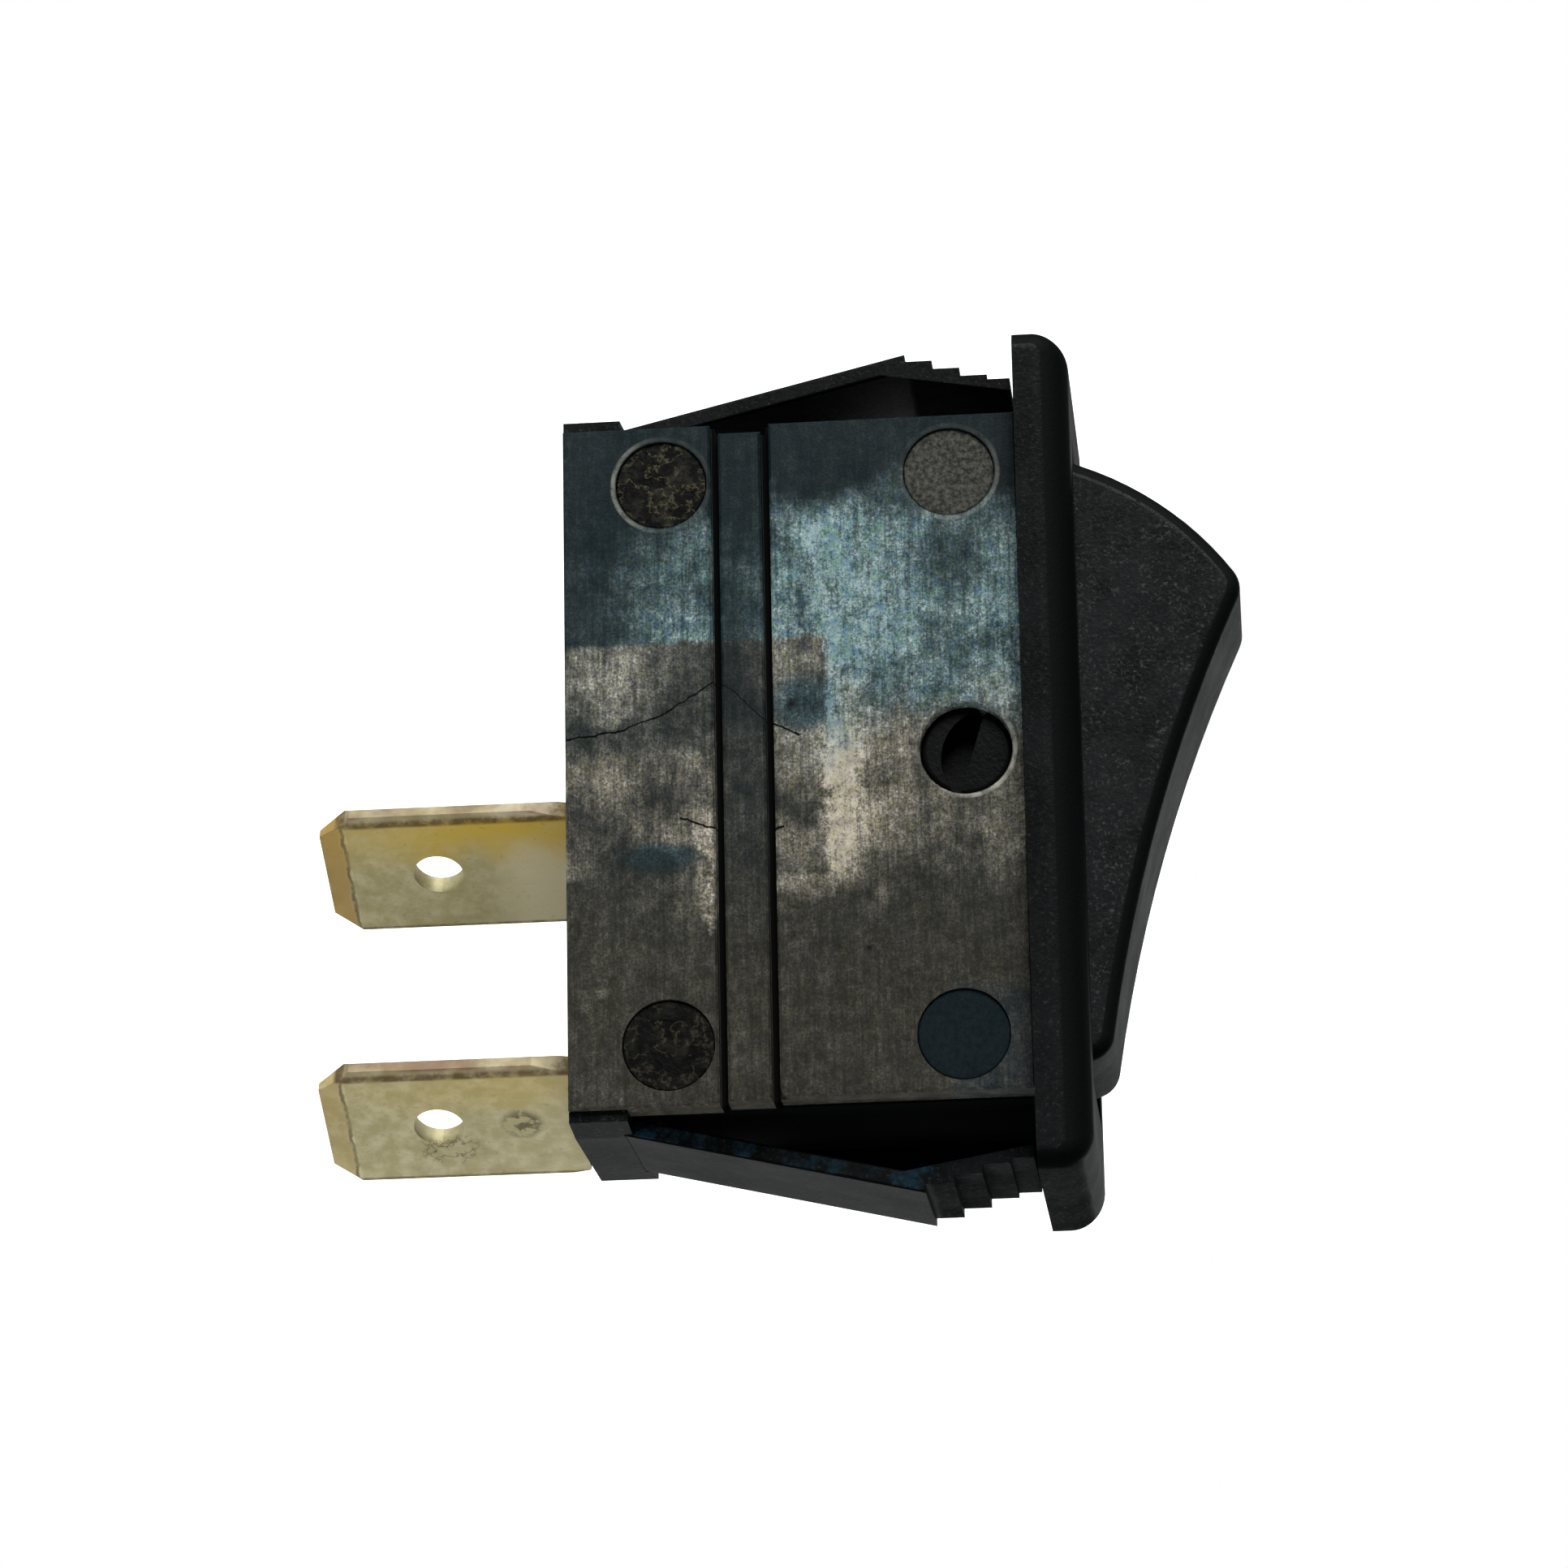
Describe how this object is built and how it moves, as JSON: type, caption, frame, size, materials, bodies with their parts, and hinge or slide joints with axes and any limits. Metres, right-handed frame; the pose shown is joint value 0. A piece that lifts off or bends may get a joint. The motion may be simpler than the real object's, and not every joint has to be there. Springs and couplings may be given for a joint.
{
  "type": "snap-in rocker switch",
  "caption": "Panel rocker switch with a dished key, sprung latch arms, side cover and twist-locked plug-on tabs.",
  "frame": {"origin": "centre of the panel seat, which is the rear face of the bezel, in the middle of the cut-out", "axes": "+Z points out of the panel towards the user, X runs along the long axis of the switch with +X at the throw terminal, +Y points away from the side cover"},
  "size_m": [0.034, 0.0136, 0.0367],
  "materials": {
    "black_nylon_housing": "moulded black nylon with a fine grain",
    "black_nylon_cover": "semi-gloss black nylon with flow streaks",
    "staked_nylon_pegs": "rough staked nylon ends",
    "black_rocker": "speckled matt black",
    "natural_acetal": "natural white acetal",
    "spring_steel": "drawn wire",
    "blade_brass": "bright brass strip",
    "contact_silver": "silver alloy",
    "terminal_plating": "tarnished tin-plated brass",
    "black_nylon_arm": "moulded black nylon"
  },
  "bodies": {
    "housing_body": {"housing": "black_nylon_housing", "side_cover": "black_nylon_cover", "cover_pegs": "staked_nylon_pegs", "common_terminal": "terminal_plating", "throw_terminal": "terminal_plating", "fixed_contact_tip": "contact_silver"},
    "rocker_body": {"rocker": "black_rocker", "plunger_spring": "spring_steel"},
    "plunger_body": {"plunger": "natural_acetal"},
    "blade_body": {"contact_blade": "blade_brass", "moving_contact_tip": "contact_silver"},
    "latch_upper": {"latch_arm_upper": "black_nylon_arm"},
    "latch_lower": {"latch_arm_lower": "black_nylon_arm"}
  },
  "joints": [
    {"name": "rocker_pivot", "type": "hinge", "parent": "housing_body", "child": "rocker_body", "pos_m": [0, 0, -0.0023], "axis": [0, -1, 0], "range_deg": [0, 34.6]},
    {"name": "plunger_slide", "type": "slide", "parent": "rocker_body", "child": "plunger_body", "axis": [0.2974, 0, 0.9548], "range_m": [-0.0001, 0.0006], "stiffness_N_per_m": 700, "springref_m": -0.0015, "deforming": ["plunger_spring"]},
    {"name": "blade_rock", "type": "hinge", "parent": "housing_body", "child": "blade_body", "pos_m": [0, 0, -0.0106], "axis": [0, 1, 0], "range_deg": [0, 17]},
    {"name": "latch_upper_flex", "type": "hinge", "parent": "housing_body", "child": "latch_upper", "pos_m": [-0.01402, 0, -0.01578], "axis": [0, 1, 0], "range_deg": [0, 5.5], "stiffness_Nm_per_rad": 0.6},
    {"name": "latch_lower_flex", "type": "hinge", "parent": "housing_body", "child": "latch_lower", "pos_m": [0.01402, 0, -0.01578], "axis": [0, -1, 0], "range_deg": [0, 5.5], "stiffness_Nm_per_rad": 0.6}
  ],
  "couplings": [
    {"joint": "blade_rock", "follows": "rocker_pivot", "ratio": 0.49132}
  ]
}
